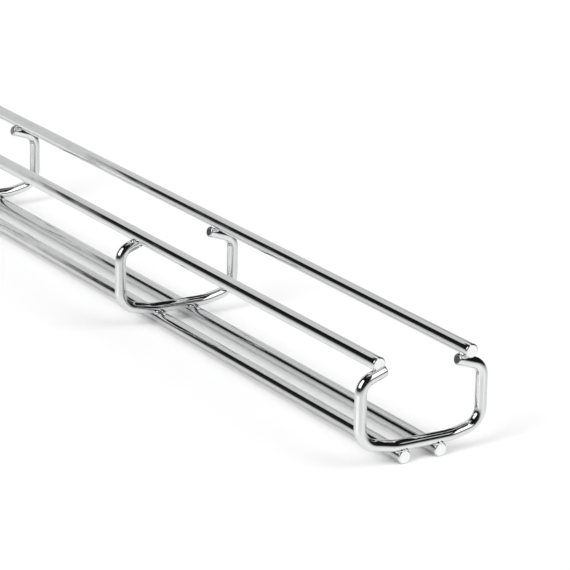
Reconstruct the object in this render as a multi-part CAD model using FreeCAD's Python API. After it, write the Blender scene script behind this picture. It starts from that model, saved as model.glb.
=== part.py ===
"""Narrow wire cable basket, welded from straight wires and bent cross wires.

Two floor wires run under the cross wires, and two top wires lie on their hooked ends.
Every wire is one solid. The frame: +X along the basket, +Y across it to its right side,
+Z up, and the origin on the ground midway along the basket and between its sides.
All lengths are in millimetres and all angles in degrees.
"""
import FreeCAD, Part
import math
import os

# Stock
straight_wire_length = 2000.0  # all four straight wires are cut to the basket's length
long_wire_diameter = 6.0
cross_wire_diameter = 5.0
cut_end_round = 0.6            # rounding that deburring leaves on a cut end

# Spacing along the basket
bay_count = 10                 # open bays from one cross wire to the next
end_overhang = 2.5             # outermost cross wire's axis to the floor wires' end faces
top_wire_stagger = 1.9         # right top wire shifted this far along +X, left one along -X

# Section of the basket, measured to wire axes
leg_spacing = 58.2             # between the two upright legs of a cross wire
floor_wire_spacing = 17.5      # between the two wires under the floor
floor_flat_width = 27.0        # level part of a cross wire's floor
floor_flat_shift = 1.0         # its middle lies this far to the right of the basket's middle
floor_rise_angle = 12.0        # slope of the floor from there to the leg
floor_bend_radius = 30.0       # gentle bend where the floor starts to rise
foot_bend_radius = 8.5         # bend from the floor into a leg
head_bend_radius = 6.5         # tighter bend from a leg into its hook
leg_corner_height = 28.0       # floor level to the corner at the head of the right leg
hook_length = 13.4             # from that corner to the cut tip
hook_angle = 18.5              # rise of the inturned hook towards its tip
hook_seat_distance = 10.3      # from the right head corner to the top wire's seat
left_bend_lag = 1.4            # left head bend comes this much later: taller leg, shorter hook

# Resistance welds
floor_set_down = 0.9           # depth by which a floor wire and a cross wire are pressed together
hook_set_down = 0.4            # the same for a top wire and a hook

long_radius = long_wire_diameter / 2
cross_radius = cross_wire_diameter / 2
floor_level = long_wire_diameter + cross_radius - floor_set_down
hook_crossing = long_radius + cross_radius - hook_set_down
bay_pitch = (straight_wire_length - 2 * end_overhang) / bay_count

slope = math.radians(floor_rise_angle)
hook = math.radians(hook_angle)
hook_along = FreeCAD.Vector(0, -math.cos(hook), math.sin(hook))
hook_normal = FreeCAD.Vector(0, math.sin(hook), math.cos(hook))


def side_corners(flat_shift=floor_flat_shift, bend_lag=0.0):
    """Corners of one half of a cross wire's centre line, drawn on the right, floor to tip."""
    leg_y = leg_spacing / 2
    flat_end_y = floor_flat_width / 2 + flat_shift
    foot_z = floor_level + (leg_y - flat_end_y) * math.tan(slope)
    flat_end = FreeCAD.Vector(0, flat_end_y, floor_level)
    foot = FreeCAD.Vector(0, leg_y, foot_z)
    head = FreeCAD.Vector(0, leg_y, floor_level + leg_corner_height + bend_lag)
    tip = head + hook_along * (hook_length - bend_lag)
    return [flat_end, foot, head, tip]


def top_wire_axis():
    """Point on the axis of the right top wire, where it sits on the hook."""
    head = side_corners()[2]
    return head + hook_along * hook_seat_distance + hook_normal * hook_crossing


def mirrored(point):
    """The same point on the other side of the basket."""
    return FreeCAD.Vector(point.x, -point.y, point.z)


def rounded_path(corners, radii):
    """Wire of straight runs through the corners, with a tangent arc at each inner one."""
    edges = []
    run_start = corners[0]
    for before, corner, after, radius in zip(corners, corners[1:], corners[2:], radii):
        to_before = (before - corner).normalize()
        to_after = (after - corner).normalize()
        half_angle = to_before.getAngle(to_after) / 2
        reach = radius / math.tan(half_angle)
        arc_start = corner + to_before * reach
        arc_end = corner + to_after * reach
        towards_centre = (to_before + to_after).normalize()
        arc_middle = corner + towards_centre * (radius / math.sin(half_angle) - radius)
        edges.append(Part.LineSegment(run_start, arc_start).toShape())
        edges.append(Part.Arc(arc_start, arc_middle, arc_end).toShape())
        run_start = arc_end
    edges.append(Part.LineSegment(run_start, corners[-1]).toShape())
    return Part.Wire(edges)


def round_cut_ends(solid, wire_radius):
    """Takes the burr off the flat ends of a wire: both end circles get a small round."""
    rims = []
    for face in solid.Faces:
        if not isinstance(face.Surface, Part.Plane):
            continue
        if abs(face.Area - math.pi * wire_radius**2) < 0.01 * face.Area:
            rims.extend(face.Edges)
    return solid.makeFillet(cut_end_round, rims)


def long_wire(y, z, shift=0.0):
    """One straight wire along the basket, its axis at y, z and its middle shifted along x."""
    start = FreeCAD.Vector(shift - straight_wire_length / 2, y, z)
    along = FreeCAD.Vector(1, 0, 0)
    wire = Part.makeCylinder(long_radius, straight_wire_length, start, along)
    return round_cut_ends(wire, long_radius)


def bent_cross_wire():
    """A cross wire bent to its C shape in the plane x = 0, before it is welded."""
    left_side = [mirrored(point) for point in side_corners(-floor_flat_shift, left_bend_lag)]
    corners = left_side[::-1] + side_corners()
    radii = [head_bend_radius, foot_bend_radius, floor_bend_radius]
    path = rounded_path(corners, radii + radii[::-1])
    tip = corners[0]
    first_run = corners[1] - tip
    section = Part.Face(Part.Wire(Part.makeCircle(cross_radius, tip, first_run)))
    return round_cut_ends(path.makePipe(section), cross_radius)


def cross_wire_places():
    """The x of every cross wire, from the far end of the basket to the near one."""
    first = end_overhang - straight_wire_length / 2
    return [first + number * bay_pitch for number in range(bay_count + 1)]


def weld_seated(cross_wire, x, long_wires):
    """The cross wire moved to x, with the shallow seats that the long wires press into it."""
    placed = cross_wire.translated(FreeCAD.Vector(x, 0, 0))
    return placed.cut(long_wires).Solids[0]


def make_basket():
    """Every wire of the basket, by its name."""
    top = top_wire_axis()
    floor_y = floor_wire_spacing / 2
    basket = {
        "floor_wire_left": long_wire(-floor_y, long_radius),
        "floor_wire_right": long_wire(floor_y, long_radius),
        "top_wire_left": long_wire(-top.y, top.z, -top_wire_stagger),
        "top_wire_right": long_wire(top.y, top.z, top_wire_stagger),
    }
    long_wires = list(basket.values())
    bent = bent_cross_wire()
    for number, x in enumerate(cross_wire_places(), start=1):
        basket[f"cross_wire_{number:02d}"] = weld_seated(bent, x, long_wires)
    return basket


os.makedirs("parts", exist_ok=True)
for name, solid in make_basket().items():
    solid.exportStep(f"parts/{name}.step")
    box = solid.optimalBoundingBox(False)
    print(f"{name}: {len(solid.Solids)} solid, valid {solid.isValid()}, {solid.Volume:.1f} mm3, "
          f"x {box.XMin:.2f} to {box.XMax:.2f}, y {box.YMin:.2f} to {box.YMax:.2f}, "
          f"z {box.ZMin:.2f} to {box.ZMax:.2f}")
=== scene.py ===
# %% [markdown]
# # A narrow wire cable basket
#
# The product is a 2 m length of cable basket. It is welded from plain drawn wire: two 6 mm
# wires on the floor, two on top, and a 5 mm cross wire bent to an open C every 200 mm. The
# whole length is plated bright, so almost all that an eye sees of it is the room in its
# surface. This lesson dresses the frame that the CAD model gives, and then builds the small
# studio that the wires mirror.
#
# The CAD model is loaded first and never moved. Its box is kept here, because the new pieces
# have to stay inside it.

# %% Load the frame
import math

import bpy
import numpy as np
from mathutils import Matrix, Vector


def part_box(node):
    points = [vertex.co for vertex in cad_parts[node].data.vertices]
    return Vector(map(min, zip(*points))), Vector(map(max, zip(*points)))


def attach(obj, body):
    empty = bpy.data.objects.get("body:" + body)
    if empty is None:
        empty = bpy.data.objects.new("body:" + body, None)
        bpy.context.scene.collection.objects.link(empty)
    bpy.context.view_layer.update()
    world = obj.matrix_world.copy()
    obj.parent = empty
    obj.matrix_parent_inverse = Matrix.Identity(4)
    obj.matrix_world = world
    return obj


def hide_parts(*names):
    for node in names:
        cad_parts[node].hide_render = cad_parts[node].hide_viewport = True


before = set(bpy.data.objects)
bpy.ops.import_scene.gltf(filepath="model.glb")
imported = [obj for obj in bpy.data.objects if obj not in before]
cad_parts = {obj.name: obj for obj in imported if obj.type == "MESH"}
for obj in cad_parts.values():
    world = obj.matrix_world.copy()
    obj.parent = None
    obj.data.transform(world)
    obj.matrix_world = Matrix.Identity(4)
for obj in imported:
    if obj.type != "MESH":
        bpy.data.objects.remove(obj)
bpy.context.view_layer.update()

MM = 0.001

# %% [markdown]
# ## Where the wires lie
#
# Places could be typed in again here, but they are already in the CAD nodes. The middle of a
# node's box gives the axis of a straight wire and the plane of a bent one. Only what a box
# cannot tell is written down: the two wire diameters and the bends of a cross wire.

# %% Read the places of all wires
LONG_RADIUS = 3.0 * MM
CROSS_RADIUS = 2.5 * MM

LONG_WIRES = ["floor_wire_left", "floor_wire_right", "top_wire_left", "top_wire_right"]
CROSS_WIRES = sorted(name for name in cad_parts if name.startswith("cross_wire"))


def middle(node):
    """Centre of a node's box: halfway between its lowest and highest corners."""
    low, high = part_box(node)
    return np.array((low + high) / 2)


long_axes = {name: middle(name) for name in LONG_WIRES}
cross_planes = {name: middle(name)[0] for name in CROSS_WIRES}
floor_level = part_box(CROSS_WIRES[0])[0].z + CROSS_RADIUS
leg_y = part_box(CROSS_WIRES[0])[1].y - CROSS_RADIUS
print("legs at +-", round(leg_y / MM, 2), "floor at", round(floor_level / MM, 2))
print("cross wires at", [round(x / MM, 1) for x in cross_planes.values()])

# %% [markdown]
# ## The line that a bent wire follows
#
# A cross wire is cut straight and bent over rollers in one plane. Its centre line is straight
# runs joined by arcs, and each arc is tangent to both of its runs. A spline would be easy to
# draw, but it has no true straight runs or constant radii, and a mirror finish shows that at
# once. So the line is worked out from the corners and the bend radii, as a bending shop
# does. The left head is bent a little late, which leaves that leg taller and its hook shorter.

# %% Centre line of a cross wire
FLOOR_FLAT = 27.0 * MM
FLAT_SHIFT = 1.0 * MM
FLOOR_RISE = math.radians(12.0)
HOOK_RISE = math.radians(18.5)
FLOOR_BEND = 30.0 * MM
FOOT_BEND = 8.5 * MM
HEAD_BEND = 6.5 * MM
LEG_HEIGHT = 28.0 * MM
HOOK_LENGTH = 13.4 * MM
LEFT_LAG = 1.4 * MM
ARC_STEP, FEWEST_ON_ARC = 0.35 * MM, 6
RUN_STEP, FEWEST_ON_RUN = 1.0 * MM, 2


def side_corners(shift, lag):
    """Corners (y, z) of one half, drawn on the right: the level floor's end to the cut tip."""
    flat = np.array([FLOOR_FLAT / 2 + shift, floor_level])
    foot = np.array([leg_y, floor_level + (leg_y - flat[0]) * math.tan(FLOOR_RISE)])
    head = np.array([leg_y, floor_level + LEG_HEIGHT + lag])
    tip = head + (HOOK_LENGTH - lag) * np.array([-math.cos(HOOK_RISE), math.sin(HOOK_RISE)])
    return np.array([flat, foot, head, tip])


def straight_run(start, end):
    """Evenly spaced points from start to end: start + share * (end - start)."""
    count = max(FEWEST_ON_RUN, int(np.linalg.norm(end - start) / RUN_STEP))
    share = np.linspace(0, 1, count, endpoint=False)[:, None]
    return start + share * (end - start)


def tangent_arc(before, corner, after, radius):
    """Points of the arc that rounds a corner.

    The arc's centre is on the corner's bisector, radius / sin(half angle) from the corner,
    and each end is radius / tan(half angle) along a run. A point is the centre plus the
    radius turned from the first end's direction to the last end's.
    """
    to_before = (before - corner) / np.linalg.norm(before - corner)
    to_after = (after - corner) / np.linalg.norm(after - corner)
    half_angle = math.acos(to_before @ to_after) / 2
    bisector = (to_before + to_after) / np.linalg.norm(to_before + to_after)
    centre = corner + bisector * radius / math.sin(half_angle)
    ends = [corner + way * radius / math.tan(half_angle) for way in (to_before, to_after)]
    first, last = [math.atan2(*(end - centre)[::-1]) for end in ends]
    turn = (last - first + math.pi) % (2 * math.pi) - math.pi
    angle = first + np.linspace(0, turn, max(FEWEST_ON_ARC, int(abs(turn) * radius / ARC_STEP)))
    return centre + radius * np.column_stack([np.cos(angle), np.sin(angle)])


def bent_line(corners, radii):
    """Straight runs through the corners, with a tangent arc in place of each inner one."""
    start, parts = corners[0], []
    for before, corner, after, radius in zip(corners, corners[1:], corners[2:], radii):
        arc = tangent_arc(before, corner, after, radius)
        parts += [straight_run(start, arc[0]), arc[:-1]]
        start = arc[-1]
    parts += [straight_run(start, corners[-1]), corners[-1:]]
    return np.concatenate(parts)


left_side = side_corners(-FLAT_SHIFT, LEFT_LAG)[::-1] * (-1, 1)
cross_corners = np.concatenate([left_side, side_corners(FLAT_SHIFT, 0.0)])
bends = [HEAD_BEND, FOOT_BEND, FLOOR_BEND]
cross_line = bent_line(cross_corners, bends + bends[::-1])
print("cross wire:", len(cross_line), "points,",
      round(np.linalg.norm(np.diff(cross_line, axis=0), axis=1).sum() / MM, 1), "mm of wire")

# %% [markdown]
# ## The ends of a wire
#
# A cut end is flat, and deburring leaves a small round at its edge. A Bevel modifier could
# make that round, but the circle that becomes the wire can do it too: at an end it shrinks
# along a quarter round. One more ring lies on the flat just inside its edge, so that the
# smooth shading of the round does not spill over the flat.

# %% Rings that close an end
CUT_END_ROUND = 0.6 * MM
ROUND_RINGS = 6
INSIDE_EDGE = 0.93


def end_rings(radius):
    """Distance from the cut and radius of each ring, from the flat to the full wire.

    Round the quarter turn: distance = round * (1 - cos(turn)), and ring radius = radius -
    round * (1 - sin(turn)).
    """
    turn = np.linspace(0, math.pi / 2, ROUND_RINGS)
    depth = CUT_END_ROUND * (1 - np.cos(turn))
    ring = radius - CUT_END_ROUND * (1 - np.sin(turn))
    return np.append(0.0, depth), np.append(INSIDE_EDGE * ring[0], ring)


print("end rings in mm:", np.round(np.column_stack(end_rings(CROSS_RADIUS)) / MM, 2).tolist())

# %% [markdown]
# ## The skin of a wire
#
# A curve object with a round bevel would make a tube in two lines, but it would give the
# material nothing that follows the wire. Here a circle is carried along the centre line
# instead. Every point also remembers where it was before the wire was bent: its distance
# along the wire and its two offsets from the axis. The finish is painted on that straight
# wire, so its drawn lines turn every bend with the metal. No cut is quite square to its wire,
# so the rings of an end lean a little.

# %% Sweep a circle along a line
SIDES = 48
END_CLEARANCE = 2.2 * CUT_END_ROUND
OUT_OF_SQUARE = math.tan(math.radians(3.5))


def read_off(distance, along, values):
    """Rows of values that are known at the places along, read off at each distance."""
    return np.column_stack([np.interp(distance, along, column) for column in values.T])


def swept_wire(line, side, radius, cut_lean):
    """Rings of points round a centre line, and the same points on the unbent wire.

    point = centre + ring radius * (cos(turn) * side + sin(turn) * (tangent x side)), with
    side square to the plane of the line. The rings of a cut end also step back along the
    tangent, from 0 at one edge of the wire to cut_lean * 2 * radius * OUT_OF_SQUARE at the
    other. On the unbent wire the point is (distance along, ring radius * cos(turn), ring
    radius * sin(turn)).
    """
    along = np.append(0.0, np.cumsum(np.linalg.norm(np.diff(line, axis=0), axis=1)))
    depth, ring = end_rings(radius)
    inner = along[(along > END_CLEARANCE) & (along < along[-1] - END_CLEARANCE)]
    distance = np.concatenate([depth, inner, along[-1] - depth[::-1]])
    ring_radius = np.concatenate([ring, np.full(len(inner), radius), ring[::-1]])
    centre = read_off(distance, along, line)
    tangent = read_off(distance, along, np.gradient(line, along, axis=0, edge_order=2))
    tangent /= np.linalg.norm(tangent, axis=1)[:, None]
    across = np.cross(tangent, side)
    turn = np.arange(SIDES) * 2 * math.pi / SIDES
    offset_side = ring_radius[:, None] * np.cos(turn)
    offset_across = ring_radius[:, None] * np.sin(turn)
    points = (centre[:, None] + offset_side[..., None] * np.asarray(side)
              + offset_across[..., None] * across[:, None])
    step_back = cut_lean * OUT_OF_SQUARE * (radius - offset_across[:len(ring)])
    points[:len(ring)] += step_back[..., None] * tangent[0]
    points[-len(ring):] -= step_back[::-1, :, None] * tangent[-1]
    unbent = np.stack([np.broadcast_to(distance[:, None], offset_side.shape),
                       offset_side, offset_across], axis=-1)
    return points, unbent


print("a sheared face leans back by up to", round(2 * CROSS_RADIUS * OUT_OF_SQUARE / MM, 2), "mm")

# %% [markdown]
# ## Faces between the rings
#
# Neighbouring rings are joined by four-cornered faces. Two loops could list them one by one.
# But a corner's number is only its ring times the points of a ring, plus its place in the
# ring, so all of them are worked out as whole arrays.

# %% Join rings with faces
def ring_faces(rings, sides, closed=False):
    """Corner numbers of every face, in the order that makes it point outwards.

    number = ring * sides + side. The corners are the point itself, the one beside it, that
    one on the next ring, and the point on the next ring. Closed joins the last ring to the
    first one.
    """
    ring = np.arange(rings if closed else rings - 1)[:, None]
    side = np.arange(sides)[None, :]
    after, beside = (ring + 1) % rings, (side + 1) % sides
    corners = [ring * sides + side, ring * sides + beside, after * sides + beside, after * sides + side]
    return np.stack(np.broadcast_arrays(*corners), axis=-1).reshape(-1, 4)


print("two rings make", len(ring_faces(2, SIDES)), "faces")

# %% [markdown]
# ## From arrays to a Blender piece
#
# Each wire is one closed mesh, with a flat face over each cut end. The unbent places go into a
# vector attribute, and a second attribute marks the cut faces, which look different from the
# drawn skin. The piece rides on the only body, hides its CAD node and takes its finish.

# %% Make one piece
def put_in_scene(name, data):
    """A new object for a mesh, a lamp or a camera, linked into the scene."""
    thing = bpy.data.objects.new(name, data)
    bpy.context.scene.collection.objects.link(thing)
    return thing


def finished_mesh(name, points, faces, unbent, material):
    """A smooth mesh with its finish, in which every point carries its unbent place."""
    mesh = bpy.data.meshes.new(name)
    mesh.from_pydata(points.reshape(-1, 3).tolist(), [], faces)
    mesh.polygons.foreach_set("use_smooth", np.ones(len(faces), dtype=bool))
    mesh.attributes.new("unbent", "FLOAT_VECTOR", "POINT").data.foreach_set("vector", unbent.ravel())
    mesh.materials.append(material)
    return mesh


def wire_piece(name, node, points, unbent, material, coil_place):
    """A closed mesh of the swept rings. The two flat ends are the first and last ring.

    coil_place, in metres, is where in the drawn coil the wire was cut. It moves the finish.
    """
    rings, sides = points.shape[:2]
    first_end = list(range(sides))[::-1]
    last_end = list(range((rings - 1) * sides, rings * sides))
    faces = ring_faces(rings, sides).tolist() + [first_end, last_end]
    mesh = finished_mesh(name, points, faces, unbent + (coil_place, 0, 0), material)
    cut = np.zeros((rings, sides))
    cut[:2] = cut[-2:] = 1.0
    mesh.attributes.new("cut_face", "FLOAT", "POINT").data.foreach_set("value", cut.ravel())
    mesh.validate()
    piece = put_in_scene(name, mesh)
    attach(piece, "root")
    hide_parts(node)
    return piece


# %% [markdown]
# ## Helpers for nodes
#
# A material is a graph of nodes. In the editor each one is dropped and wired by hand. These
# short functions do the same, so that a line of code reads like the sum that it stands for.

# %% Helpers for nodes
def add_node(tree, kind, **settings):
    """A node with its settings, where in_3=value fills its input number 3."""
    node = tree.nodes.new(kind)
    for key, value in settings.items():
        if key.startswith("in_"):
            node.inputs[int(key[3:])].default_value = value
        else:
            setattr(node, key, value)
    return node


def math_node(tree, operation, first, second=0.5, third=0.0):
    """A Math node. Each operand is a number or the output socket of another node."""
    node = add_node(tree, "ShaderNodeMath", operation=operation)
    for socket, operand in zip(node.inputs, (first, second, third)):
        if isinstance(operand, bpy.types.NodeSocket):
            tree.links.new(operand, socket)
        else:
            socket.default_value = operand
    return node.outputs[0]


def ramp(tree, value, start, end, first=0.0, last=1.0, easing="LINEAR"):
    """first where the value is under start, last where it is over end, and in between
    first + share * (last - first). SMOOTHSTEP eases the share at both ends.
    """
    node = add_node(tree, "ShaderNodeMapRange", interpolation_type=easing,
                    in_1=start, in_2=end, in_3=first, in_4=last)
    tree.links.new(value, node.inputs["Value"])
    return node.outputs[0]


def new_group(name, inputs, outputs):
    """An empty node group with float or vector sockets, and its two end nodes."""
    tree = bpy.data.node_groups.new(name, "ShaderNodeTree")
    for direction, sockets in (("INPUT", inputs), ("OUTPUT", outputs)):
        for label, kind in sockets:
            tree.interface.new_socket(label, in_out=direction, socket_type=kind)
    return tree, tree.nodes.new("NodeGroupInput"), tree.nodes.new("NodeGroupOutput")


FLOAT, VECTOR = "NodeSocketFloat", "NodeSocketVector"

# %% [markdown]
# ## Bright plating
#
# The wire is drawn through a die, which leaves fine lines along it, and then plated with a
# thin bright coat that softens them. Four things break up the mirror: the drawn lines, a slow
# unevenness of the skin, a fine pebble in some places of the coat, and faint dull patches
# from handling. They are one node group, because the wires and the weld beads share them. The
# group reads the unbent wire and puts out a tint, a roughness and a height in millimetres.
# The metal itself stays in the material.

# %% The drawn skin
# blots per metre along the wire, blots per metre round it, detail
DRAWN_LINES = (25.0, 2600.0, 3.0)
SLOW_WAVES = (28.0, 130.0, 1.0)
PEBBLES = (700.0, 900.0, 1.0)
PEBBLED_PLACES = (45.0, 45.0, 1.0)
DULL_PATCHES = (60.0, 260.0, 4.0)
# the noise value at which a mask starts to rise, and the one at which it is full
PEBBLED_MASK = (0.5, 0.62)
DULL_MASK = (0.5, 0.75)
LINE_ROUGHNESS = 0.03
DULL_SHADE = 0.6


def stretched_noise(tree, place, along, across, detail):
    """Noise with about `along` blots per metre of wire and `across` per metre round it."""
    scaled = add_node(tree, "ShaderNodeMapping", in_3=(along, across, across))
    noise = add_node(tree, "ShaderNodeTexNoise", in_2=1.0, in_3=detail)
    tree.links.new(place, scaled.inputs["Vector"])
    tree.links.new(scaled.outputs[0], noise.inputs["Vector"])
    return noise.outputs["Fac"]


skin, skin_in, skin_out = new_group(
    "drawn_skin",
    [("Unbent", VECTOR), ("Line Depth", FLOAT), ("Wave Depth", FLOAT), ("Dullness", FLOAT),
     ("Pebble Depth", FLOAT)],
    [("Tint", FLOAT), ("Roughness", FLOAT), ("Height", FLOAT)])
lines, waves, pebbles, pebbled_places, patches = (
    stretched_noise(skin, skin_in.outputs["Unbent"], *size)
    for size in (DRAWN_LINES, SLOW_WAVES, PEBBLES, PEBBLED_PLACES, DULL_PATCHES))
pebbled = ramp(skin, pebbled_places, *PEBBLED_MASK)
pebble_depth = math_node(skin, "MULTIPLY", pebbled, skin_in.outputs["Pebble Depth"])
dull = math_node(skin, "MULTIPLY", ramp(skin, patches, *DULL_MASK), skin_in.outputs["Dullness"])
lined = math_node(skin, "MULTIPLY", lines, skin_in.outputs["Line Depth"])
waved = math_node(skin, "MULTIPLY_ADD", waves, skin_in.outputs["Wave Depth"], lined)
height = math_node(skin, "MULTIPLY_ADD", pebbles, pebble_depth, waved)
roughness = math_node(skin, "MULTIPLY_ADD", lines, LINE_ROUGHNESS, dull)
tint = math_node(skin, "MULTIPLY_ADD", dull, -DULL_SHADE, 1.0)
for label, value in (("Tint", tint), ("Roughness", roughness), ("Height", height)):
    skin.links.new(value, skin_out.inputs[label])
print("group", skin.name, "with", len(skin.nodes), "nodes")

# %% [markdown]
# ## Three finishes from one group
#
# The straight wires, the bent wires and the beads differ only in numbers: how deep the lines
# and the waves are, and how much pebble the plating has. Their cut faces differ more. The
# straight wires were sawn, which leaves a rough face that scatters light and looks white. The
# bent wires were sheared, which leaves a face that still shines; its colour is painted darker,
# a painted dark reflection of the room that it faces. A bead has no cut.

# %% The plated finish
PLATING = (0.84, 0.845, 0.85)
DULLNESS = 0.10
# how much paler a cut face is (darker if negative), and how much metal shine it has lost
# the sheared face's -0.64 is painted shade: a painted dark reflection of the room, not a darker metal
SAWN, SHEARED_PAINTED_DARK, UNCUT = (0.0, 1.0), (-0.64, 0.0), (0.0, 0.0)


def changed_where_cut(tree, plain, change):
    """plain on the drawn skin and plain + change on a cut face."""
    cut_face = add_node(tree, "ShaderNodeAttribute", attribute_name="cut_face")
    return math_node(tree, "MULTIPLY_ADD", cut_face.outputs["Fac"], change, plain)


def plated_metal(name, plain_roughness, line_depth, wave_depth, pebble_depth, cut):
    """Bright metal: the group's roughness on top of the plain one, and its own cut faces.

    The depths are in millimetres, and cut is SAWN, SHEARED_PAINTED_DARK or UNCUT.
    """
    material = bpy.data.materials.new(name)
    material.use_nodes = True
    tree = material.node_tree
    metal = tree.nodes["Principled BSDF"]
    metal.inputs["Metallic"].default_value = 1.0
    cut_paler, cut_matt = cut
    unbent = add_node(tree, "ShaderNodeAttribute", attribute_name="unbent")
    effect = add_node(tree, "ShaderNodeGroup", node_tree=skin, in_1=line_depth, in_2=wave_depth,
                      in_3=DULLNESS, in_4=pebble_depth)
    tree.links.new(unbent.outputs["Vector"], effect.inputs["Unbent"])
    shade = effect.outputs["Tint"]
    if cut_paler:
        shade = changed_where_cut(tree, shade, cut_paler)
    if cut_matt:
        tree.links.new(changed_where_cut(tree, 1.0, -cut_matt), metal.inputs["Metallic"])
    tinted = add_node(tree, "ShaderNodeVectorMath", operation="SCALE", in_0=PLATING)
    tree.links.new(shade, tinted.inputs["Scale"])
    tree.links.new(tinted.outputs[0], metal.inputs["Base Color"])
    rough = math_node(tree, "ADD", effect.outputs["Roughness"], plain_roughness)
    tree.links.new(rough, metal.inputs["Roughness"])
    bump = add_node(tree, "ShaderNodeBump")
    bump.inputs["Distance"].default_value = MM
    tree.links.new(effect.outputs["Height"], bump.inputs["Height"])
    tree.links.new(bump.outputs[0], metal.inputs["Normal"])
    return material


rail_plating = plated_metal("rail_plating", plain_roughness=0.04, line_depth=0.0012,
                            wave_depth=0.006, pebble_depth=0.002, cut=SAWN)
bent_plating = plated_metal("bent_plating", plain_roughness=0.05, line_depth=0.0015,
                            wave_depth=0.008, pebble_depth=0.009, cut=SHEARED_PAINTED_DARK)
bead_plating = plated_metal("bead_plating", plain_roughness=0.10, line_depth=0.0010,
                            wave_depth=0.030, pebble_depth=0.010, cut=UNCUT)
print("finishes:", [m.name for m in (rail_plating, bent_plating, bead_plating)])

# %% [markdown]
# ## The straight wires
#
# Each straight wire is a circle carried along X. Real wire is not dead straight: the
# straightening rollers leave a faint weave, which is only seen because a bright surface
# enlarges it. So two slow waves of different lengths are added to the centre line, sideways
# and in height, all of it under four hundredths of a millimetre. Each wire comes from its own
# place in the coil, so that no two look alike.

# %% Make the four straight wires
LONG_STEP = 5.0 * MM
WEAVE = 0.012 * MM
SECOND_WAVE = 0.6
SWAY_LENGTHS = (143 * MM, 61 * MM)
LIFT_LENGTHS = (117 * MM, 73 * MM)
PHASE_STEP = 1.7
WEAVE_FADE = 100 * MM
SAWN_LEAN = 0.3
COIL_STEP = 3.0


def two_waves(x, lengths, phases):
    """sin(2 pi x / length + phase) for the first pair, plus SECOND_WAVE times the second."""
    first, second = (np.sin(2 * math.pi * x / length + phase)
                     for length, phase in zip(lengths, phases))
    return first + SECOND_WAVE * second


def woven_line(node, number):
    """Centre line of a straight wire: its axis plus slow sines in y and in z.

    In z the sines only ever lift a floor wire and lower a top wire, so that none of them
    leaves the box of the part.
    """
    low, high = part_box(node)
    x = np.linspace(low.x, high.x, int((high.x - low.x) / LONG_STEP) + 1)
    phase = PHASE_STEP * number
    fade = np.minimum(1.0, np.minimum(x - low.x, high.x - x) / WEAVE_FADE)
    sway = WEAVE * fade * two_waves(x, SWAY_LENGTHS, (phase, 2 * phase))
    lift = WEAVE * fade * (1 + SECOND_WAVE + two_waves(x, LIFT_LENGTHS, (3 * phase, phase)))
    axis = long_axes[node]
    inwards = 1.0 if axis[2] < floor_level else -1.0
    return np.column_stack([x, axis[1] + sway, axis[2] + inwards * lift])


for number, node in enumerate(LONG_WIRES, start=1):
    points, unbent = swept_wire(woven_line(node, number), (0.0, 0.0, 1.0), LONG_RADIUS, SAWN_LEAN)
    piece = wire_piece("plated_" + node, node, points, unbent, rail_plating, COIL_STEP * number)
    print(piece.name, len(piece.data.polygons), "faces")

# %% [markdown]
# ## The bent cross wires
#
# All eleven are bent on the same tool, so one swept ring set serves them all, moved to each
# plane. Each comes from its own place in another coil, which moves the finish along the wire.

# %% Make the eleven cross wires
SHEARED_LEAN = 1.0
CROSS_COIL = 20.0

flat_line = np.column_stack([np.zeros(len(cross_line)), cross_line])
bent_points, bent_unbent = swept_wire(flat_line, (1.0, 0.0, 0.0), CROSS_RADIUS, SHEARED_LEAN)
for number, (node, x) in enumerate(cross_planes.items(), start=1):
    placed = bent_points + (x, 0, 0)
    piece = wire_piece("plated_" + node, node, placed, bent_unbent, bent_plating, CROSS_COIL + number)
print(len(cross_planes), "cross wires of", len(piece.data.polygons), "faces")

# %% [markdown]
# ## The curve of a weld
#
# Where two wires cross they are pressed together hot, and a little metal is squeezed out all
# round the joint. The bead could be a torus, but the joint is not flat: it follows the curve
# in which two crossing cylinders meet. Its distance from the middle of the joint is found by
# halving, for all turns at once.

# %% Where two crossing wires meet
# distance between the axes of two welded wires, on the floor and on a hook
FLOOR_CROSSING = 4.6 * MM
HOOK_CROSSING = 5.1 * MM
WIDEST_REACH = 0.95 * CROSS_RADIUS
HALVINGS = 40


def joint_curve(turn, crossing):
    """Where two crossing cylinders meet, as offsets along the long wire, along the cross wire
    and from the cross wire's axis towards the long one.

    For each turn, the reach grows until the two heights meet: the root of
    sqrt(r_cross^2 - along^2) + sqrt(r_long^2 - across^2) = crossing, the axes' distance.
    """
    near, far = np.zeros_like(turn), np.full_like(turn, WIDEST_REACH)
    for _ in range(HALVINGS):
        reach = (near + far) / 2
        height = np.sqrt(CROSS_RADIUS**2 - (reach * np.cos(turn))**2)
        drop = np.sqrt(LONG_RADIUS**2 - (reach * np.sin(turn))**2)
        inside = height + drop > crossing
        near, far = np.where(inside, reach, near), np.where(inside, far, reach)
    return np.column_stack([reach * np.cos(turn), reach * np.sin(turn), height])


for title, crossing in (("floor", FLOOR_CROSSING), ("hook", HOOK_CROSSING)):
    size = 2 * joint_curve(np.array([0.0, math.pi / 2]), crossing).max(axis=0)[:2] / MM
    print("joint at the", title, "is", np.round(size, 1).tolist(), "mm, along and across the basket")

# %% [markdown]
# ## One weld bead
#
# A small ring is carried along that curve. Squeezed metal is never even, so the ring gets
# thicker and thinner in three waves, which start at random turns. A Displace modifier with a
# noise could roughen it too, but whole waves close on themselves and leave no seam. Each bead
# has its own seed, so that no two are alike and every run gives the same ones.

# %% An uneven ring
BEAD_TURNS = 40
BEAD_SIDES = 12
BEAD_THICKNESS = 0.60 * MM
BEAD_OUTWARD = 0.22 * MM
# how many waves go round the joint, and their height
BEAD_WAVES = ((2, 0.10 * MM), (3, 0.12 * MM), (7, 0.08 * MM))
BEAD_UNEVENNESS = (0.8, 1.4)


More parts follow.
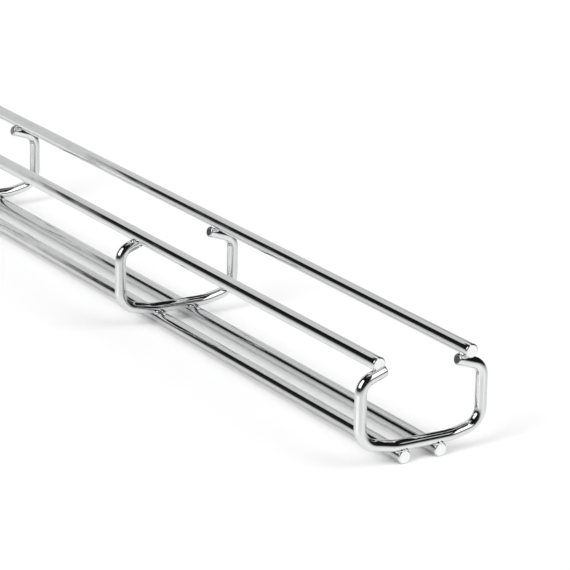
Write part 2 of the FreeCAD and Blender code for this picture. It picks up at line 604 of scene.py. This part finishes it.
def weld_bead(seed, crossing):
    """An uneven ring round the joint curve: thickness is a mean plus three seeded sines.

    point = centre + thickness * (cos(around) * outward + sin(around) * down)
    """
    random = np.random.default_rng(seed)
    turn = np.arange(BEAD_TURNS) * 2 * math.pi / BEAD_TURNS
    curve = joint_curve(turn, crossing)
    outward = np.column_stack([np.cos(turn), np.sin(turn), np.zeros(BEAD_TURNS)])
    waves = sum(size * np.sin(count * turn + random.uniform(0, 2 * math.pi))
                for count, size in BEAD_WAVES)
    thick = BEAD_THICKNESS + waves * random.uniform(*BEAD_UNEVENNESS)
    centre = curve + BEAD_OUTWARD * outward
    around = np.arange(BEAD_SIDES) * 2 * math.pi / BEAD_SIDES
    down = np.array([0.0, 0.0, -1.0])
    return (centre[:, None] + thick[:, None, None]
            * (np.cos(around)[None, :, None] * outward[:, None] + np.sin(around)[None, :, None] * down))


print("a bead has", BEAD_TURNS * BEAD_SIDES, "points")

# %% [markdown]
# ## A bead on every crossing
#
# A cross wire has four joints: two under its floor and two on its hooks. Copies of one bead
# would be shorter, but real ones differ. So each is made upright at the origin, and then
# turned into its joint by three axes. The four beads of a cross wire are one piece. They are
# plated with the rest, so they glint.

# %% Carry a bead round every crossing
SEED_STEP = 10


def crossing_frame(x, y, z, hook_side):
    """The bead's origin on the cross wire, its three axes and the distance between the wires.

    The axes are along X, along the cross wire and from the cross wire to the long one, and
    they are right-handed. hook_side is +1 or -1 at a hook and 0 on the floor.
    """
    crossing = HOOK_CROSSING if hook_side else FLOOR_CROSSING
    normal = np.array([0.0, 0.0, -1.0])
    if hook_side:
        normal = np.array([0.0, hook_side * math.sin(HOOK_RISE), math.cos(HOOK_RISE)])
    along_x = np.array([1.0, 0.0, 0.0])
    origin = np.array([x, y, z]) - crossing * normal
    return origin, np.array([along_x, np.cross(normal, along_x), normal]), crossing


def bead_piece(name, beads, material):
    """One mesh of all the beads on a cross wire, each of them a ring that closes on itself."""
    points = np.concatenate([bead.reshape(-1, 3) for bead in beads])
    one = ring_faces(BEAD_TURNS, BEAD_SIDES, closed=True)
    faces = np.concatenate([one + number * BEAD_TURNS * BEAD_SIDES for number in range(len(beads))])
    piece = put_in_scene(name, finished_mesh(name, points, faces.tolist(), points, material))
    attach(piece, "root")
    return piece


for number, x in enumerate(cross_planes.values(), start=1):
    beads = []
    for place, wire in enumerate(LONG_WIRES):
        axis = long_axes[wire]
        hook_side = 0 if wire.startswith("floor") else math.copysign(1.0, axis[1])
        origin, axes, crossing = crossing_frame(x, axis[1], axis[2], hook_side)
        beads.append(origin + weld_bead(SEED_STEP * number + place, crossing) @ axes)
    piece = bead_piece(f"weld_beads_{number:02d}", beads, bead_plating)
print(len(cross_planes), "sets of beads,", len(piece.data.polygons), "faces each")

# %% [markdown]
# ## The studio
#
# A mirror-bright part is photographed by arranging what it reflects. Here that is a white
# table, a pale backdrop behind the basket, a tall softbox at the camera's right, a smaller
# one at its left, a wide one overhead, and a dark room between them. The wires see these as
# soft cards on the sky. The camera only ever sees the white table and a white sky.
#
# The cards are drawn in the world by their azimuth and height. One node group draws a card,
# and is placed once for each. Real lamps could stand there too, but a world keeps the same
# pattern over the whole 2 m, and a card's edges can be as soft as the picture shows them.

# %% A card on the sky
card, card_in, card_out = new_group(
    "sky_card",
    [("Azimuth", FLOAT), ("Height", FLOAT), ("Centre Azimuth", FLOAT), ("Centre Height", FLOAT),
     ("Half Width", FLOAT), ("Half Height", FLOAT), ("Edge", FLOAT), ("Brightness", FLOAT)],
    [("Light", FLOAT)])


def card_side(angle, centre, half):
    """1 inside the card and 0 outside, with a smooth step of the edge's width between them.

    Over that step, share = (distance from the centre - half) / edge goes from -0.5 to 0.5.
    """
    offset = math_node(card, "SUBTRACT", card_in.outputs[angle], card_in.outputs[centre])
    if angle == "Azimuth":
        offset = math_node(card, "WRAP", offset, 180.0, -180.0)
    past = math_node(card, "SUBTRACT", math_node(card, "ABSOLUTE", offset), card_in.outputs[half])
    share = math_node(card, "DIVIDE", past, card_in.outputs["Edge"])
    return ramp(card, share, -0.5, 0.5, 1.0, 0.0, "SMOOTHSTEP")


inside = math_node(card, "MULTIPLY", card_side("Azimuth", "Centre Azimuth", "Half Width"),
                   card_side("Height", "Centre Height", "Half Height"))
card.links.new(math_node(card, "MULTIPLY", inside, card_in.outputs["Brightness"]), card_out.inputs["Light"])
print("group", card.name, "with", len(card.nodes), "nodes")

# %% [markdown]
# ## The cards themselves
#
# Each card is a name with its azimuth, height, half sizes and soft edge, all in degrees, and
# its brightness. Azimuth turns from X towards Y, and height is above the table. Where cards
# overlap, the brighter one shows. The dark room between the backdrop and the table is the
# black line that the rails mirror.

# %% Hang the cards in a dark room
# name: azimuth, height, half width, half height, edge, brightness
CARDS = {
    "backdrop": (174.0, 10.0, 24.0, 32.0, 3.0, 0.66),
    "backdrop foot": (148.0, 0.0, 14.0, 21.0, 4.0, 0.66),
    "tall softbox": (19.5, 40.0, 9.0, 27.0, 4.0, 1.7),
    "narrow softbox": (40.0, 38.0, 5.0, 5.0, 4.0, 0.9),
    "small softbox": (269.0, 34.5, 27.0, 17.5, 5.0, 2.0),
    "top softbox": (90.0, 114.0, 250.0, 30.0, 40.0, 1.3),
    "rear softbox": (163.0, 52.0, 14.0, 14.0, 8.0, 0.9),
}
ROOM = 0.010
TABLE_GLOW = 0.06
GLOW_HEIGHTS = (-4.0, 16.0)
DEGREES = 180 / math.pi

world = bpy.data.worlds.new("studio")
bpy.context.scene.world = world
world.use_nodes = True
sky = world.node_tree
sky.nodes.clear()
direction = add_node(sky, "ShaderNodeSeparateXYZ")
sky.links.new(add_node(sky, "ShaderNodeTexCoord").outputs["Generated"], direction.inputs[0])
x, y, z = direction.outputs
azimuth = math_node(sky, "MULTIPLY", math_node(sky, "ARCTAN2", y, x), DEGREES)
elevation = math_node(sky, "MULTIPLY", math_node(sky, "ARCSINE", z), DEGREES)
mirrored = ramp(sky, elevation, *GLOW_HEIGHTS, TABLE_GLOW, ROOM, "SMOOTHSTEP")
for title, values in CARDS.items():
    hung = add_node(sky, "ShaderNodeGroup", node_tree=card, label=title)
    for socket, value in zip(hung.inputs[2:], values):
        socket.default_value = value
    sky.links.new(azimuth, hung.inputs["Azimuth"])
    sky.links.new(elevation, hung.inputs["Height"])
    mirrored = math_node(sky, "MAXIMUM", mirrored, hung.outputs[0])
print("cards:", ", ".join(CARDS))

# %% [markdown]
# ## Three skies in one
#
# The same world can be a different one for each kind of ray. Mirror rays meet the cards. Rays
# that gather light for a matt surface meet a weak even fill, because the lamps that come next
# do that work with less noise. The camera's own rays meet a plain white.

# %% Give each kind of ray its sky
FILL = 0.15
WHITE = (1.0, 1.0, 1.0, 1.0)

rays = add_node(sky, "ShaderNodeLightPath")
lit = math_node(sky, "MULTIPLY", rays.outputs["Is Diffuse Ray"], FILL)
seen = math_node(sky, "MULTIPLY", rays.outputs["Is Glossy Ray"], mirrored)
strength = math_node(sky, "ADD", math_node(sky, "ADD", lit, seen), rays.outputs["Is Camera Ray"])
background = add_node(sky, "ShaderNodeBackground", in_0=WHITE)
sky.links.new(strength, background.inputs["Strength"])
sky.links.new(background.outputs[0], add_node(sky, "ShaderNodeOutputWorld").inputs["Surface"])
print("world", world.name, "with", len(sky.nodes), "nodes")

# %% [markdown]
# ## The table
#
# The table is a wide white disc. One matt sheet would do for the picture, but in a real
# table's sheen the wires see the softboxes again. So all rays but the camera's meet a satin
# sheet. The camera sees a matt one, lit to just white: its plain part melts into the
# background and the basket's soft shadows stay, lifted by a faint glow.

# %% Lay the table
TABLE_RADIUS = 8.0
TABLE_SIDES = 96
TABLE_WHITE = 0.96
TABLE_ROUGHNESS = 0.12
TABLE_LIFT = 0.08


def circle(radius, count):
    """Columns radius * cos(turn) and radius * sin(turn), for a count of even turns."""
    turn = np.arange(count) * 2 * math.pi / count
    return radius * np.column_stack([np.cos(turn), np.sin(turn)])


def flat_sheet(name, rim, material):
    """One flat face inside a rim of points."""
    mesh = bpy.data.meshes.new(name)
    mesh.from_pydata(rim.tolist(), [], [list(range(len(rim)))])
    mesh.materials.append(material)
    return put_in_scene(name, mesh)


sheet = bpy.data.materials.new("table_sheet")
sheet.use_nodes = True
tree = sheet.node_tree
paper_white = (TABLE_WHITE, TABLE_WHITE, TABLE_WHITE, 1.0)
satin = tree.nodes["Principled BSDF"]
satin.inputs["Base Color"].default_value = paper_white
satin.inputs["Roughness"].default_value = TABLE_ROUGHNESS
matt = add_node(tree, "ShaderNodeBsdfDiffuse", in_0=paper_white)
lift = add_node(tree, "ShaderNodeEmission", in_0=WHITE, in_1=TABLE_LIFT)
lifted = add_node(tree, "ShaderNodeAddShader")
tree.links.new(matt.outputs[0], lifted.inputs[0])
tree.links.new(lift.outputs[0], lifted.inputs[1])
choose = add_node(tree, "ShaderNodeMixShader")
tree.links.new(add_node(tree, "ShaderNodeLightPath").outputs["Is Camera Ray"], choose.inputs[0])
tree.links.new(satin.outputs[0], choose.inputs[1])
tree.links.new(lifted.outputs[0], choose.inputs[2])
tree.links.new(choose.outputs[0], tree.nodes["Material Output"].inputs["Surface"])

rim = np.column_stack([circle(TABLE_RADIUS, TABLE_SIDES), np.zeros(TABLE_SIDES)])
table = flat_sheet("table", rim, sheet)
print("table", 2 * TABLE_RADIUS, "m across")

# %% [markdown]
# ## The lamps
#
# The softboxes and the weak even fill light the table. A softbox is tall and narrow, and one
# sun lamp would not show that. So those at the sides are columns of suns at several heights:
# the upright legs keep their streak of shadow, which lies along the same line for all of
# them, and the shadows of the rails blur away. The suns are hidden from mirror rays, because
# there the cards already show.

# %% Hang the lamps
# name: azimuth, heights, spread of the soft edge, share of the table's light
LAMPS = {
    "tall_softbox": (21.0, (20.0, 30.0, 42.0, 56.0), 24.0, 0.20),
    "narrow_softbox": (50.0, (22.0, 32.0, 44.0), 30.0, 0.15),
    "small_softbox": (288.0, (20.0, 29.0, 39.0, 51.0), 28.0, 0.30),
    "top_softbox": (90.0, (80.0,), 60.0, 0.18),
    "rear_softbox": (163.0, (38.0,), 56.0, 0.04),
}
for title, (around, heights, spread, share) in LAMPS.items():
    side = math.radians(around)
    for height in map(math.radians, heights):
        flat = math.cos(height)
        towards = Vector((math.cos(side) * flat, math.sin(side) * flat, math.sin(height)))
        lamp = bpy.data.lights.new(title, "SUN")
        lamp.angle = math.radians(spread)
        # a low sun spreads its light over more of the table, so it is made stronger
        lamp.energy = share / len(heights) * math.pi / math.sin(height)
        hung = put_in_scene(title, lamp)
        hung.rotation_mode = "QUATERNION"
        hung.rotation_quaternion = towards.to_track_quat("Z", "Y")
        hung.visible_glossy = False
print("lamps:", ", ".join(f"{title} of {len(values[1])}" for title, values in LAMPS.items()))

# %% [markdown]
# ## A round screen beyond the far end
#
# In the photo the rails' black line ends some way along all of them, at the same distance.
# A card on the sky cannot do that, because it has no place. So a real round screen stands
# just beyond the far end. A rail mirrors a cone of directions, the cone narrows along the
# rail, and where it falls inside the screen the dark room is no longer seen. The screen is
# there for mirror rays only.

# %% Stand up the screen
SCREEN_X = -1.01
SCREEN_RADIUS = 1.09
SCREEN_SIDES = 128
SCREEN_LIGHT = 0.66

paper = bpy.data.materials.new("screen_paper")
paper.use_nodes = True
tree = paper.node_tree
tree.nodes.clear()
shine = add_node(tree, "ShaderNodeEmission", in_0=WHITE, in_1=SCREEN_LIGHT)
tree.links.new(shine.outputs[0], add_node(tree, "ShaderNodeOutputMaterial").inputs["Surface"])

rim = np.column_stack([np.full(SCREEN_SIDES, SCREEN_X), circle(SCREEN_RADIUS, SCREEN_SIDES)])
screen = flat_sheet("far_screen", rim, paper)
screen.visible_camera = screen.visible_diffuse = screen.visible_shadow = False
print("screen", 2 * SCREEN_RADIUS, "m across at x =", SCREEN_X)

# %% [markdown]
# ## The camera
#
# The picture looks along the basket from beyond its near end, from a little above and with a
# long lens. Place, turn and lens come from matching the straight wires and the bends.

# %% Set the camera
CAMERA_PLACE = Vector((1953.83, -655.85, 444.75)) * MM
LOOK = Vector((-0.81005, 0.50014, -0.30608)).normalized()
RIGHT = Vector((0.52001, 0.85394, 0.01911)).normalized()
SENSOR = 36.0
LENS = 193.9
NEAREST, FURTHEST = 0.05, 60.0

camera_data = bpy.data.cameras.new("camera")
camera_data.sensor_width = SENSOR
camera_data.lens = LENS
camera_data.clip_start, camera_data.clip_end = NEAREST, FURTHEST
camera = put_in_scene("camera", camera_data)
up = RIGHT.cross(LOOK).normalized()
turned = Matrix((RIGHT, up, -LOOK)).transposed().to_4x4()
camera.matrix_world = Matrix.Translation(CAMERA_PLACE) @ turned
bpy.context.scene.camera = camera
bpy.context.scene.view_settings.view_transform = "Standard"
print("camera at", [round(v, 3) for v in CAMERA_PLACE], "lens", LENS)
